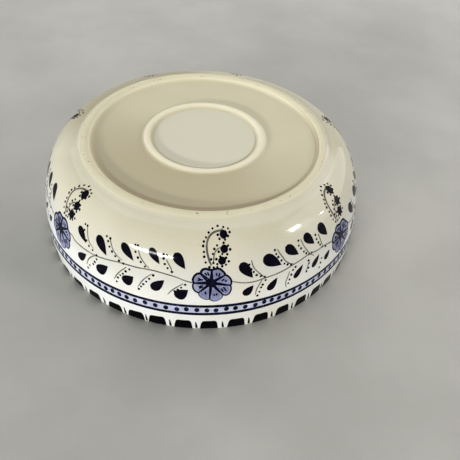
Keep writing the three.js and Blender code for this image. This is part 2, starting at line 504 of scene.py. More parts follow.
def filled(rings):
    """Fills an outline in edit mode with rings that shrink towards the origin, then thickens it."""
    for ring in range(rings, 1, -1):
        bpy.ops.mesh.extrude_region_move()
        shrink = (ring - 1) / ring
        bpy.ops.transform.resize(value=(shrink, shrink, 1), center_override=(0, 0, 0))
    bpy.ops.mesh.extrude_region_move()
    bpy.ops.mesh.merge(type="CENTER")
    return thickened(bpy.context.object)


LEAF_ROWS = 16
LEAF_COLUMNS = 4
LEAF_WIDEST_SHARE = 0.33
LEAF_TAPER = 1.7
LEAF_TIP_SHARE = 0.02


def leaf_width(share):
    """Width of a leaf along its length: a round end, then a long taper to a tip."""
    if share < LEAF_WIDEST_SHARE:
        return sqrt(max(1 - (1 - share / LEAF_WIDEST_SHARE) ** 2, 0))
    return max(1 - ((share - LEAF_WIDEST_SHARE) / (1 - LEAF_WIDEST_SHARE)) ** LEAF_TAPER, 0)


leaf_widths = [max(leaf_width(row / LEAF_ROWS), LEAF_TIP_SHARE) for row in range(LEAF_ROWS + 1)]
leaf_shape = squeezed("leaf", leaf_widths, LEAF_COLUMNS)

BLOCK_COLUMNS = 5
BLOCK_WIDTH_SHARES = [1.12, 1.11, 1.1, 1.09, 1.08, 1.07, 1.05, 1.04, 1.02, 1,
                      0.98, 0.96, 0.93, 0.89, 0.82, 0.66]
block_shape = squeezed("block", BLOCK_WIDTH_SHARES, BLOCK_COLUMNS)

DOT_CORNERS = 10
bpy.ops.mesh.primitive_circle_add(vertices=DOT_CORNERS, radius=1, fill_type="NGON")
dot = bpy.context.object
start_edit(dot)
dot_shape = thickened(dot)

# A large round mark bends with the bowl, so it is filled ring by ring, and its edge is a little uneven.
BERRY_CORNERS = 24
BERRY_RINGS = 4
BERRY_WOBBLE_SHARE = 0.05
bpy.ops.mesh.primitive_circle_add(vertices=BERRY_CORNERS, radius=1, fill_type="NOTHING")
berry = bpy.context.object
for number, corner in enumerate(berry.data.vertices):
    corner.co *= 1 + BERRY_WOBBLE_SHARE * sin(2.3 * number) * cos(number)
start_edit(berry)
berry_shape = filled(BERRY_RINGS)
print("leaf", len(leaf_shape.polygons), "block", len(block_shape.polygons), "faces")
print("dot", len(dot_shape.polygons), "berry", len(berry_shape.polygons), "faces")

# %% [markdown]
# ## Copies and brush lines
# The decorator repeats the same few strokes hundreds of times. A shape is modelled once, and each
# copy of it is moved to its place by a matrix and gets its own mesh. A line is a curve swept by a flat
# brush whose width is set at each point, which a plain tube couldn't do, and then becomes a mesh.

# %% Copies and lines
LINE_STEPS = 4


def copies(name, shape, places):
    """One object of many copies of a shape, each moved by its own matrix."""
    sheet = bmesh.new()
    for place in places:
        copy = shape.copy()
        copy.transform(place)
        sheet.from_mesh(copy)
        bpy.data.meshes.remove(copy)
    mesh = bpy.data.meshes.new(name)
    sheet.to_mesh(mesh)
    sheet.free()
    piece = bpy.data.objects.new(name, mesh)
    scene.collection.objects.link(piece)
    return piece


def at_place(x, y, across, along=None, turn=0.0):
    """Moves a unit shape to x, y mm, stretched and turned."""
    along = across if along is None else along
    return (Matrix.Translation((x, y, 0)) @ Matrix.Rotation(turn, 4, "Z")
            @ Matrix.Diagonal((across, along, 1, 1)))


def between(start, end, width, before=0.0):
    """Stretches a unit shape from one point, or from some mm before it, to another."""
    way = Vector(end) - Vector(start)
    long = way.length + before
    first = Vector(end) - way.normalized() * long
    return at_place(first.x, first.y, width, long, atan2(-way.x, way.y))


brush_line = bpy.data.curves.new("brush", "CURVE")
brush_line.dimensions = "2D"
brush_edge = brush_line.splines.new("POLY")
brush_corners = ((-0.5, -THICK / 2), (0.5, -THICK / 2), (0.5, THICK / 2), (-0.5, THICK / 2))
brush_edge.points.add(len(brush_corners) - 1)
for corner, (x, y) in zip(brush_edge.points, brush_corners):
    corner.co = (x, y, 0, 1)
brush_edge.use_cyclic_u = True
brush = bpy.data.objects.new("brush", brush_line)
scene.collection.objects.link(brush)


def lines(name, strokes, steps=LINE_STEPS):
    """One object of brush lines. Each stroke is its points, its width in mm, and whether it closes."""
    curve = bpy.data.curves.new(name, "CURVE")
    curve.dimensions = "2D"
    curve.fill_mode = "NONE"
    curve.resolution_u = steps
    curve.bevel_mode = "OBJECT"
    curve.bevel_object = brush
    curve.use_fill_caps = True
    for points, width, closed in strokes:
        spline = curve.splines.new("BEZIER")
        spline.bezier_points.add(len(points) - 1)
        widths = width if isinstance(width, (list, tuple)) else [width] * len(points)
        for corner, place, size in zip(spline.bezier_points, points, widths):
            corner.co = (place[0], place[1], 0)
            corner.handle_left_type = "AUTO"
            corner.handle_right_type = "AUTO"
            corner.radius = size
        spline.use_cyclic_u = closed
    piece = bpy.data.objects.new(name, curve)
    scene.collection.objects.link(piece)
    bpy.ops.object.select_all(action="DESELECT")
    piece.select_set(True)
    bpy.context.view_layer.objects.active = piece
    bpy.ops.object.convert(target="MESH")
    return bpy.context.object


def tapered(points, width, start=0.6, end=0.6):
    """A stroke that is thinner where the brush touches down and lifts off."""
    widths = [width] * len(points)
    widths[0] = width * start
    widths[-1] = width * end
    return points, widths, False


print("the brush has", len(brush_edge.points), "corners")

# %% [markdown]
# ## Where the marks go
# Seven flowers stand round the bowl, each with a curl over it, and a leafy vine fills the bay between
# each two. A formula would make the pattern look printed, so every mark is placed one by one from the
# photograph: a star in degrees round the bowl and millimetres up the sheet, a petal in millimetres
# from its star, and a curl in degrees and millimetres for the middle flower, then moved to the others.

# %% Flowers and curls
STARS = [(-53.6, 43.4), (3.04, 46.2), (54.1, 43.4), (103.7, 44.5), (162, 46), (206, 44.5), (253, 44)]
CURL_MOVES = [(-55.6, -0.6), (0, 0), (49.6, 0), (100.7, 0), (158.7, 0.5), (202.7, -0.5), (250.2, 0)]

# Each petal's outer edge, in mm from the star, from notch to notch.
PETALS = [
    [(-6.9, 6.6), (-6.5, 8.5), (-5.1, 9.8), (-3.4, 10.1), (-1.6, 9.6), (0.5, 9.2)],
    [(0.5, 9.2), (2.2, 9.8), (4.3, 10.1), (6.1, 9.6), (7.8, 8.0), (8.9, 6.6), (9.4, 5.4)],
    [(9.4, 5.4), (11, 4.5), (12.4, 2.9), (13.3, 1.2), (13.4, -0.2), (13.4, -1.6), (12.9, -2.8)],
    [(12.9, -2.8), (13.4, -5.1), (13.1, -7.2), (12.2, -9.3), (10.8, -10.5), (8.9, -10.5), (7.7, -9.7)],
    [(7.7, -9.7), (7.8, -11.2), (6.8, -13.2), (5, -14.6), (2.6, -15.3), (0.5, -14.6), (-0.7, -13.5)],
    [(-0.7, -13.5), (-3, -13.7), (-5.1, -12.8), (-6.7, -11.4), (-7.7, -9.7), (-8.1, -8.1)],
    [(-8.1, -8.1), (-10, -6.9), (-11.2, -5.3), (-11.8, -3.4), (-11.8, -1.6), (-11.1, -0.4)],
    [(-11.1, -0.4), (-11.9, 1.5), (-11.6, 3.6), (-10.4, 5.6), (-8.6, 6.8), (-6.9, 6.6)],
]
PETAL_EDGES = [1.7, 1.6, 1.3, 1.0, 0.75, 0.75, 1.2, 1.6]
PETAL_RIBS = [1.9, 1.6, 1.4, 1.5, 1.4, 1.3, 1.3, 1.6]
PETAL_DASHES = [
    [(-4.2, 7.3), (-2.8, 5.4)], [(-2.5, 7.8), (-1.3, 5.2)], [(3.6, 7.1), (3.6, 5.0)], [(5.7, 7), (5, 4.2)],
    [(7.1, 1), (8.7, 2.4)], [(8.9, 1), (10.6, 0.7)], [(6.8, -4.8), (8.2, -7.6)], [(8.2, -3.7), (10.1, -7.2)],
    [(3.8, -8.6), (3.9, -10.4)], [(2.2, -9), (2.4, -10.7)], [(-3.7, -6.9), (-3.2, -9.3)],
    [(-8.1, -3.4), (-5.3, -2.1)], [(-7.7, -4.4), (-5.1, -3.4)], [(-8.6, 3.5), (-6.5, 2.2)],
    [(-8.8, 1.7), (-5.1, 2.4)],
]
CURL_STEM = [(3.15, 58.5), (2.6, 60.9), (2.2, 63.4), (1.8, 66.5), (1.6, 69.3), (1.6, 72.5), (1.95, 75.3),
             (2.7, 77.7), (3.8, 79.5), (5.1, 80.5), (6.4, 80.9), (7.3, 81.2)]
CURL_TWIG = [(3.7, 60.2), (3.8, 62.7), (3.9, 64.8), (4.2, 66.9), (4.7, 68.5), (5.6, 69.7), (6.5, 70.4)]
CURL_BERRIES = [(7.3, 78.3, 2.95), (7.2, 69, 2.75), (6.4, 61.5, 2.75)]
CURL_DOTS = [
    (1.3, 60.6), (0.8, 64.3), (0.7, 67.4), (0.4, 71.1), (0.6, 73.9), (1.3, 76.5), (2.2, 79.6), (3.6, 82.4),
    (5.5, 84.2), (7.5, 83.1), (9.1, 81.9), (9.5, 79.3), (7.65, 74.8), (5.3, 78), (5.8, 75.4), (4.9, 71.4),
    (7.1, 72.8), (8.5, 70.9), (9.1, 68.4), (8.1, 65.5), (6.5, 65.9), (5.4, 67.4), (5.85, 64.3), (7.65, 63.2),
    (8.5, 60.8), (7.6, 58.7), (6.4, 57.8), (4.9, 59.4), (4.6, 62.7), (3, 62.7), (3.55, 66.1), (4, 69.2),
    (3.7, 60.2), (2.5, 57.4), (3.8, 57.1), (4.9, 57.4), (8.75, 76.9),
]
print(len(PETALS), "petals and", len(CURL_DOTS), "dots round a curl")

# %% [markdown]
# ## The bays
# Two bays face the camera. Each holds the vine's line, its leaves (start, end and width), the stems of
# the sprigs and their dots, in degrees and millimetres. The bays that the photograph doesn't show are
# the same two, drawn a little wider or narrower: a mark keeps its share of the way between two flowers.

# %% The two bays that show
LEFT_BAY = {
    "ends": (STARS[0], STARS[1]),
    "vine": [
        (-48.6, 47.6), (-46.8, 47.4), (-44.9, 45.6), (-42, 44.9), (-39.1, 44.9), (-35.8, 45.2),
        (-32.5, 46.4), (-29.1, 47.9), (-26.6, 49), (-23.7, 49.7), (-20, 50.1), (-15.4, 51),
        (-11.3, 50.4), (-7.1, 48.8), (-4.7, 47), (-2.2, 45.9),
    ],
    "leaves": [
        (-43.5, 57.3, -39.6, 50.1, 5), (-35, 59.6, -30.9, 49.9, 6.3), (-25.6, 62.3, -21.3, 54, 5),
        (-16.05, 64.5, -12.9, 56.4, 4.7), (-8, 64.1, -4.9, 55.5, 5.8), (-42, 35.3, -39, 41.6, 5.4),
        (-33.55, 34.8, -30, 42.2, 7), (-23.7, 36, -20.9, 42.2, 7), (-14.4, 37.5, -11.1, 45.4, 6),
        (-6.9, 34, -3.8, 40, 7.5),
    ],
    "stems": [
        [(-40.6, 62.2), (-40, 58.7), (-39.4, 55.8), (-38.3, 52.4), (-36.2, 49.7)],
        [(-30.8, 63.2), (-29.9, 59.6), (-28.9, 56.4), (-27.4, 53.7), (-25.2, 51.5)],
        [(-20.2, 62.3), (-19.4, 58.7), (-17.9, 55.1), (-16.05, 51.9)],
        [(-10.9, 60.3), (-10, 57.3), (-9.3, 55.1), (-8.9, 52.8)],
        [(-35, 45.6), (-36.7, 42.5), (-37.9, 38.9), (-38.65, 33.5)],
        [(-23.5, 47.7), (-25.2, 43.4), (-26.6, 38.9), (-27.5, 34.4)],
        [(-15.2, 47.9), (-16.9, 44.3), (-18.3, 39.8), (-19.4, 34.8)],
        [(-5.3, 44.7), (-7.1, 41.6), (-8.8, 38), (-9.9, 34.4)],
    ],
    "dots": [
        (-41.7, 62.3), (-40.6, 62.3), (-41.4, 58.2), (-39.6, 52.2), (-38.2, 49.5), (-36.5, 48.2),
        (-34.7, 46.1), (-32.1, 63), (-30.65, 62.7), (-31.2, 60.3), (-30.3, 57.1), (-29.1, 54.6),
        (-27.7, 52.4), (-26.2, 50.4), (-24.6, 49.5), (-21.6, 65), (-20.7, 65), (-21.1, 60.5),
        (-20, 57.2), (-18.9, 54.8), (-17.4, 52.4), (-12, 63.4), (-10.9, 63.2), (-11.8, 60.7),
        (-11.3, 57.1), (-10.3, 54.6), (-8.9, 52.4), (-34.5, 42.9), (-35.2, 40), (-35.8, 37.5),
        (-37.3, 34.4), (-38.1, 31.2), (-22.4, 46.8), (-23.6, 44.3), (-24.5, 41.6), (-25.4, 39.6),
        (-26.2, 36.9), (-26.6, 33), (-14.6, 47.4), (-15.8, 44.1), (-16.7, 41.3), (-17.6, 38.6),
        (-18.3, 36.2), (-19, 33.5), (-4.7, 44), (-5.9, 41.4), (-6.85, 39.5), (-7.85, 38),
    ],
}
RIGHT_BAY = {
    "ends": (STARS[1], STARS[2]),
    "vine": [
        (8.9, 46.7), (9.17, 46.5), (10.9, 45.2), (13.4, 43.8), (16.7, 43.4), (20, 44.3), (23.3, 44.7),
        (26.7, 45.6), (30.1, 47), (33.4, 48.1), (37.1, 49), (40.4, 47.9), (43.3, 47.9), (48, 46),
    ],
    "leaves": [
        (12.6, 57.3, 16, 46.7, 6.3), (20.4, 58.7, 25.8, 50.6, 7.6), (28.5, 61, 32.5, 53.1, 6),
        (36.3, 63.2, 39.5, 54.6, 6), (43.3, 64.1, 46.2, 54.2, 6.5), (13.7, 34.6, 16.2, 40.6, 5.2),
        (21.6, 34.2, 24.2, 41.7, 5), (31.0, 36.4, 34, 43.6, 4.1), (38.6, 37.4, 41.3, 44, 4.1),
        (44.7, 36.4, 46.8, 40.9, 4.2),
    ],
    "stems": [
        [(15.8, 59.4), (16, 56.4), (16.6, 53.3), (17.5, 50.6), (19.2, 46.5), (19.9, 44.7)],
        [(24.9, 62.3), (25.6, 59.1), (26.4, 56), (27.5, 51.9), (29.1, 48.8), (30.8, 47)],
        [(34.2, 62.7), (34.8, 58.2), (35.9, 53.3), (37.3, 48.8), (38.85, 45.6)],
        [(41.9, 59.6), (42.3, 56), (42.7, 52.4), (43.2, 48.8)],
        [(19, 43.4), (18, 39.8), (17.2, 36.2), (16.9, 31.7)],
        [(28.7, 42.9), (28, 38.9), (27.3, 34.4), (27.7, 29.9)],
        [(36.9, 44), (36, 40), (35.2, 36)],
    ],
    "dots": [
        (15, 56.7), (15.55, 53.1), (16.3, 50.9), (17.2, 48.1), (18.6, 46.5), (19.9, 45.4), (24, 62.3),
        (24.3, 59.4), (24.9, 56.9), (25.9, 53.7), (26.9, 50.6), (28, 49), (29.3, 47.9), (31, 44.5),
        (33.2, 62.5), (33, 59.1), (33.7, 56.4), (34.7, 53.1), (35.6, 50.9), (36.7, 49), (37.9, 49.2),
        (40.6, 60), (40.8, 56.6), (41.4, 53.3), (42.1, 50.8), (42.9, 48.2), (44.6, 46.5), (20.15, 42.5),
        (19.2, 39.3), (18.7, 37.3), (18.2, 33.9), (17.6, 30.8), (30, 42.9), (29.35, 39.6), (28.7, 36),
        (28.3, 33), (36.3, 44.3), (36.5, 41.6), (36.3, 38), (35.5, 35.7), (42.5, 38.9), (42.1, 35.3),
        (41.5, 31.7),
    ],
}
BAYS = [LEFT_BAY, RIGHT_BAY, RIGHT_BAY, LEFT_BAY, RIGHT_BAY, LEFT_BAY, RIGHT_BAY]


def fitted(bay, left, right):
    """A function that moves a mark of a bay to the same place between two other flowers, in mm."""
    (start, start_height), (end, end_height) = bay["ends"]

    def move(place):
        share = (place[0] - start) / (end - start)
        rise = mix(left[1] - start_height, right[1] - end_height, share)
        return (mix(left[0], right[0], share) * DEGREE, place[1] + rise)
    return move


FULL_TURN = 360
bay_moves = []
for number, bay in enumerate(BAYS):
    left = STARS[number]
    right = STARS[number + 1] if number + 1 < len(STARS) else (STARS[0][0] + FULL_TURN, STARS[0][1])
    bay_moves.append((bay, fitted(bay, left, right)))
print(len(STARS), "flowers,", sum(len(bay["leaves"]) for bay in BAYS), "leaves")

# %% [markdown]
# ## The flowers' wash
# The decorator first lays a thin lavender wash in the shape of the whole flower. One flat face would
# cut through the bowl where it bends, so the flower's outline is drawn and filled by rings that shrink
# towards the star, which gives it enough corners to follow the bowl.

# %% Flower wash
WASH_RINGS = 9


def wash_outline():
    outline = []
    for petal in PETALS:
        outline += petal[:-1]
    return outline


wash = drawn("wash", [Vector((x, y, 0)) for x, y in wash_outline() + wash_outline()[:1]])
start_edit(wash)
bpy.ops.mesh.remove_doubles(threshold=MERGE)
wash_shape = filled(WASH_RINGS)

star_places = [(angle * DEGREE, height) for angle, height in STARS]
flower_wash = laid(copies("flower_wash", wash_shape, [at_place(x, y, 1) for x, y in star_places]), GROUND)

# %% [markdown]
# ## The flowers' lines
# Over the wash go the brush lines: eight petals whose outline gets fainter towards the bottom, dark
# ribs from the star to the notches between them, a pale loop in each petal and dashes near the star.
# The loops are worked out from the petals, and the rest is lines of their own width.

# %% Flower lines
FAINT_WIDTH = 0.9
RIB_START_SHARE = 2
RIB_END_SHARE = 0.8
DASH_WIDTH = 1.9
LOOP_WIDTH = 0.55
LOOP_STEPS = 3
LOOP_SHARE = 0.7
LOOP_FOOT_SHARE = 0.12
STAR_RADIUS = 3.3


def moved(points, x, y):
    return [(point[0] + x, point[1] + y) for point in points]


def petal_loop(petal):
    """A loop inside a petal, drawn round its middle."""
    border = [(LOOP_FOOT_SHARE * petal[0][0], LOOP_FOOT_SHARE * petal[0][1])] + petal
    middle = np.mean(border, axis=0)
    return [tuple(middle + (np.array(point) - middle) * LOOP_SHARE) for point in border]


dark_strokes = []
faint_strokes = []
loop_strokes = []
for x, y in star_places:
    for petal, edge_width, rib_width in zip(PETALS, PETAL_EDGES, PETAL_RIBS):
        group = faint_strokes if edge_width < FAINT_WIDTH else dark_strokes
        group.append((moved(petal, x, y), edge_width, False))
        rib_widths = [rib_width * RIB_START_SHARE, rib_width * RIB_END_SHARE]
        dark_strokes.append((moved([(0, 0), petal[0]], x, y), rib_widths, False))
        loop_strokes.append((moved(petal_loop(petal), x, y), LOOP_WIDTH, True))
    dark_strokes += [tapered(moved(dash, x, y), DASH_WIDTH) for dash in PETAL_DASHES]

flower_lines = laid(lines("flower_lines", dark_strokes), INK)
flower_faint_lines = laid(lines("flower_faint_lines", faint_strokes), COLOUR)
flower_loops = laid(lines("flower_loops", loop_strokes, LOOP_STEPS), COLOUR)
stars = copies("flower_stars", berry_shape, [at_place(x, y, STAR_RADIUS) for x, y in star_places])
flower_stars = laid(stars, OVER_INK)

# %% [markdown]
# ## The curls
# Over each flower stands a curl: a grey stem that bends over to the right, a twig inside it, three
# black berries and a chain of dots round them. The curl is drawn once, in degrees, and repeated over
# each flower. The berries of the other six are a little larger than those of the middle one.

# %% Curls
CURL_STEM_WIDTH = 1.5
CURL_STEM_ENDS = (0.7, 1.7)
CURL_TWIG_WIDTH = 1.0
OTHER_BERRY_SHARE = 1.15
CURL_DOT_RADIUS = 0.82
DOT_STEP = 0.05

curl_places = [(angle * DEGREE, rise) for angle, rise in CURL_MOVES]


def on_sheet(points):
    return [(point[0] * DEGREE, point[1]) for point in points]


def dot_radius(smallest, number):
    """No two neighbouring dots of a brush are alike: five sizes take turns."""
    return smallest + DOT_STEP * (number * 3 % 5)


curl_strokes = []
curl_discs = []
berry_discs = []
for x, y in curl_places:
    berry_share = 1 if x == 0 else OTHER_BERRY_SHARE
    curl_strokes.append(tapered(moved(on_sheet(CURL_STEM), x, y), CURL_STEM_WIDTH, *CURL_STEM_ENDS))
    curl_strokes.append(tapered(moved(on_sheet(CURL_TWIG), x, y), CURL_TWIG_WIDTH))
    for angle, height, radius in CURL_BERRIES:
        berry_discs.append(at_place(angle * DEGREE + x, height + y, radius * berry_share))
    for number, (angle, height) in enumerate(CURL_DOTS):
        radius = dot_radius(CURL_DOT_RADIUS, number)
        curl_discs.append(at_place(angle * DEGREE + x, height + y, radius))

curl_stems = laid(lines("curl_stems", curl_strokes), COLOUR)
curl_dots = laid(copies("curl_dots", dot_shape, curl_discs), INK)
curl_berries = laid(copies("curl_berries", berry_shape, berry_discs), INK)

# %% [markdown]
# ## The vine
# A thin grey line wanders from flower to flower. Over it and under it hang drop-shaped leaves, and
# between the leaves stand sprigs, each a thin stem with a row of dots. A leaf's mark is its start and
# end on the sheet: the unit leaf is turned and stretched to reach from one to the other.

# %% Vine, leaves and sprigs
VINE_WIDTH = 0.95
SPRIG_WIDTH = 0.85
SPRIG_ENDS = (0.8, 0.6)
SPRIG_DOT_RADIUS = 0.8
LEAF_SPREAD = 1.0
LEAF_SWELL = 1.7

vine_strokes = []
leaf_places = []
sprig_places = []
for bay, move in bay_moves:
    vine_strokes.append(tapered([move(place) for place in bay["vine"]], VINE_WIDTH, 1, 1))
    for stem in bay["stems"]:
        vine_strokes.append(tapered([move(place) for place in stem], SPRIG_WIDTH, *SPRIG_ENDS))
    for start_angle, start_height, end_angle, end_height, width in bay["leaves"]:
        start = move((start_angle, start_height))
        end = move((end_angle, end_height))
        leaf_places.append(between(start, end, width + LEAF_SPREAD, LEAF_SWELL))
    for number, place in enumerate(bay["dots"]):
        sprig_places.append(at_place(*move(place), dot_radius(SPRIG_DOT_RADIUS, number)))

vine_lines = laid(lines("vine_lines", vine_strokes), COLOUR)
leaves = laid(copies("leaves", leaf_shape, leaf_places), INK)
sprig_dots = laid(copies("sprig_dots", dot_shape, sprig_places), INK)

# %% [markdown]
# ## The band
# Below the vine two dark lines run round the bowl with a pale lavender wash between them. A line round
# a pot is painted as the wheel turns, and a swept curve would leave a seam in it. So each is a closed
# ring of rows of corners on the sheet, and a slow wave and a swelling width take the machine out of it.

# %% Band
UPPER_LINE = 26.0
LOWER_LINE = 18.6
UPPER_LINE_WIDTH = 2.45
LOWER_LINE_WIDTH = 2.7
WASH_SPREAD = 0.4
LINE_STEP = 2.0
LINE_ROW = 1.5
SWELL_SHARE = 0.06
SWELLS_ROUND = 7


def wheel_wave(angle, wave, peak):
    """A slow dip in mm, twice round the bowl and twice the wave deep, that is nothing at its peak."""
    return wave * (cos(radians(2 * (angle - peak))) - 1)


def band_line(name, middle, width, proud, wave, peak):
    """A ring of a flat shape round the whole sheet, which dips and swells a little."""
    points = []
    for step in range(round(FULL_TURN / LINE_STEP)):
        angle = step * LINE_STEP - FULL_TURN / 2
        swell = width * (1 + SWELL_SHARE * sin(radians(SWELLS_ROUND * angle)))
        points.append((angle * DEGREE, middle + wheel_wave(angle, wave, peak), swell))
    rows = max(1, round(width / LINE_ROW))
    mesh = bpy.data.meshes.new(name)
    sheet = bmesh.new()
    loops = []
    for x, y, wide in points:
        across = [y + wide * (row / rows - 0.5) for row in range(rows + 1)]
        lower = [sheet.verts.new((x, level, -THICK / 2)) for level in across]
        upper = [sheet.verts.new((x, level, THICK / 2)) for level in across[::-1]]
        loops.append(lower + upper)
    for here, there in zip(loops, loops[1:] + loops[:1]):
        for corner in range(len(here)):
            after = (corner + 1) % len(here)
            sheet.faces.new((here[corner], there[corner], there[after], here[after]))
    sheet.to_mesh(mesh)
    sheet.free()
    piece = bpy.data.objects.new(name, mesh)
    scene.collection.objects.link(piece)
    return laid(piece, proud)


wash_middle = (UPPER_LINE + LOWER_LINE) / 2
wash_width = UPPER_LINE - LOWER_LINE + WASH_SPREAD
band_wash = band_line("band_wash", wash_middle, wash_width, GROUND, wave=0.62, peak=20)
band_upper_line = band_line("band_upper_line", UPPER_LINE, UPPER_LINE_WIDTH, COLOUR, wave=0.55, peak=10)
band_lower_line = band_line("band_lower_line", LOWER_LINE, LOWER_LINE_WIDTH, COLOUR, wave=0.65, peak=30)

# %% [markdown]
# ## The band's dots
# Upright dots stand in the wash between the two lines. The ones that show are listed, in
# degrees, and the far side goes on at the same pace. They ride on the band's slow wave and stray from
# it a little, up or down and in their tilt, as a hand does.

# %% Dots of the band
BAND_DOTS = [-52.8, -50.3, -47.4, -45.15, -42.5, -39.5, -36.3, -33.6, -31, -28.4, -25.9, -23.3, -20.4, -17.1,
             -13.8, -10.5, -7.1, -4.2, -1.0, 2.05, 4.8, 8.0, 10.8, 13.9, 17.2, 20.15, 22.7, 25.3, 28.1, 30.9,
             33.4, 36.5, 39.2, 42.1, 45.2]
FAR_BAND_DOTS = 91
BAND_DOT_HEIGHT = 22.4
BAND_DOT_SIZE = (1.75, 2.15)
BAND_DOT_WAVE = 0.6
BAND_DOT_PEAK = 20
BAND_DOT_TILT = 0.12
STRAY = 0.25


def stray(number):
    """How far a mark stands above or below its line, in mm: four levels take turns."""
    return STRAY * (number * 3 % 4 - 1.5)


def round_bowl(shown, far_count):
    """The marks that show, and as many more as the far side holds, evenly apart."""
    gap = (shown[0] + FULL_TURN - shown[-1]) / (far_count + 1)
    return shown + [shown[-1] + gap * number for number in range(1, far_count + 1)]


band_places = []
for number, angle in enumerate(round_bowl(BAND_DOTS, FAR_BAND_DOTS)):
    height = BAND_DOT_HEIGHT + wheel_wave(angle, BAND_DOT_WAVE, BAND_DOT_PEAK) + stray(number)
    tilt = BAND_DOT_TILT * (number * 5 % 3 - 1)
    band_places.append(at_place(angle * DEGREE, height, *BAND_DOT_SIZE, tilt))
band_dots = laid(copies("band_dots", dot_shape, band_places), INK)

# %% [markdown]
# ## The lip's border
# Black blocks with rounded shoulders stand along the lip, widen a little towards it and run down over
# its edge, with one thin upright stroke between each two. The two sides and the top of each block
# that shows are listed, so the unit block is stretched between them, and slanted at the left.

# %% Blocks and ticks
BLOCK_LEFT = [-56, -48, -39.4, -30.8, -23.3, -16.2, -7.8, 0.3, 8.9, 17.2, 25.2, 32.9, 40.0, 46.4, 55]
BLOCK_RIGHT = [-51, -42.7, -34.4, -25.8, -17.9, -10.8, -2.5, 5.5, 14.2, 22.2, 30, 37.4, 44.5, 51.2, 60]
BLOCK_TOPS = [5.6, 6.8, 8.6, 9, 9.6, 10.7, 10.7, 10.6, 10.7, 10.8, 10.8, 10.8, 10.6, 10.4, 9.8]
FAR_TOP = 9.8
BLOCK_SLANTS = [0.12, 0.12, 0.1, 0.1, 0.1, 0.1, 0.02]
BLOCK_FOOT = -0.5
FAR_BLOCKS = 30
TICK_TOP = 9.3
TICK_MIDDLE = 5
TICK_FOOT = -0.4
TICK_TOP_SHIFT = 0.2
TICK_FOOT_SHIFT = 0.25
TICK_WIDTH = 1.5
TICK_ENDS = (0.4, 1.1)

block_lefts = round_bowl(BLOCK_LEFT, FAR_BLOCKS)
block_rights = round_bowl(BLOCK_RIGHT, FAR_BLOCKS)
block_places = []
tick_strokes = []
for number, (left, right) in enumerate(zip(block_lefts, block_rights)):
    top = BLOCK_TOPS[number] if number < len(BLOCK_TOPS) else FAR_TOP + stray(number)
    slant = BLOCK_SLANTS[number] if number < len(BLOCK_SLANTS) else 0
    wide = (right - left) * DEGREE
    stretch_across = (wide, 0, 0, (left + right) / 2 * DEGREE)
    stretch_up = (wide * slant, top - BLOCK_FOOT, 0, BLOCK_FOOT)
    block_places.append(Matrix((stretch_across, stretch_up, (0, 0, 1, 0), (0, 0, 0, 1))))
    after = block_lefts[(number + 1) % len(block_lefts)]
    if after < right:
        after += FULL_TURN
    tick = (right + after) / 2
    stroke = [((tick - TICK_TOP_SHIFT) * DEGREE, min(top, TICK_TOP)), (tick * DEGREE, TICK_MIDDLE),
              ((tick + TICK_FOOT_SHIFT) * DEGREE, TICK_FOOT)]
    tick_strokes.append(tapered(stroke, TICK_WIDTH, *TICK_ENDS))
lip_blocks = laid(copies("lip_blocks", block_shape, block_places), INK)
lip_ticks = laid(lines("lip_ticks", tick_strokes), INK)
bpy.data.objects.remove(brush)

# %% [markdown]
# ## Finishes
# A material is a chain of nodes. By hand one would drag them in the shader editor. One small class
# lets us write that chain as sums: it wraps a node's socket, so that a * b adds a Math node, and its
# method node adds any other. Every pattern reads Object coordinates, which here are the bowl's own, in
# metres, so a mask is a height or a distance from the axis that can be measured on the bowl.

# %% Writing nodes as expressions


class Wire:
    """A number, vector or colour that runs between nodes."""

    def __init__(self, tree, socket):
        self.tree = tree
        self.socket = socket

    def node(self, kind, inputs, output=0, **settings):
        """Adds a node: its settings first, then the values or links of its sockets."""
        made = self.tree.nodes.new("ShaderNode" + kind)
        for name, value in settings.items():
            setattr(made, name, value)
        for name, value in inputs.items():
            if isinstance(value, Wire):
                self.tree.links.new(value.socket, made.inputs[name])
            else:
                made.inputs[name].default_value = value
        return Wire(self.tree, made.outputs[output])

    def maths(self, operation, first, second):
        return self.node("Math", {0: first, 1: second}, operation=operation)

    def __add__(self, other):
        return self.maths("ADD", self, other)

    def __sub__(self, other):
        return self.maths("SUBTRACT", self, other)

    def __rsub__(self, other):
        return self.maths("SUBTRACT", other, self)

    def __mul__(self, other):
        return self.maths("MULTIPLY", self, other)

    __radd__ = __add__
    __rmul__ = __mul__

    def __truediv__(self, other):
        return self.maths("DIVIDE", self, other)

    def __pow__(self, other):
        return self.maths("POWER", self, other)

    def between(self, low, high):
        """0 below low, 1 above high, and a smooth step between."""
        return self.node("MapRange", {"Value": self, "From Min": low, "From Max": high},
                         interpolation_type="SMOOTHSTEP")

    def within(self, start, full, fading, end):
        """1 from full to fading, and 0 before start and after end."""
        return self.between(start, full) * (1 - self.between(fading, end))

    def blend(self, start, end):
        """A colour mixed from start to end by this number."""
        return self.node("Mix", {0: self, 6: start, 7: end}, output=2, data_type="RGBA")


def srgb(red, green, blue):
    """A colour as read off a screen, 0 to 255, made linear."""
    def linear(value):
        share = value / 255
        return share / 12.92 if share <= 0.04045 else ((share + 0.055) / 1.055) ** 2.4
    return (linear(red), linear(green), linear(blue), 1)


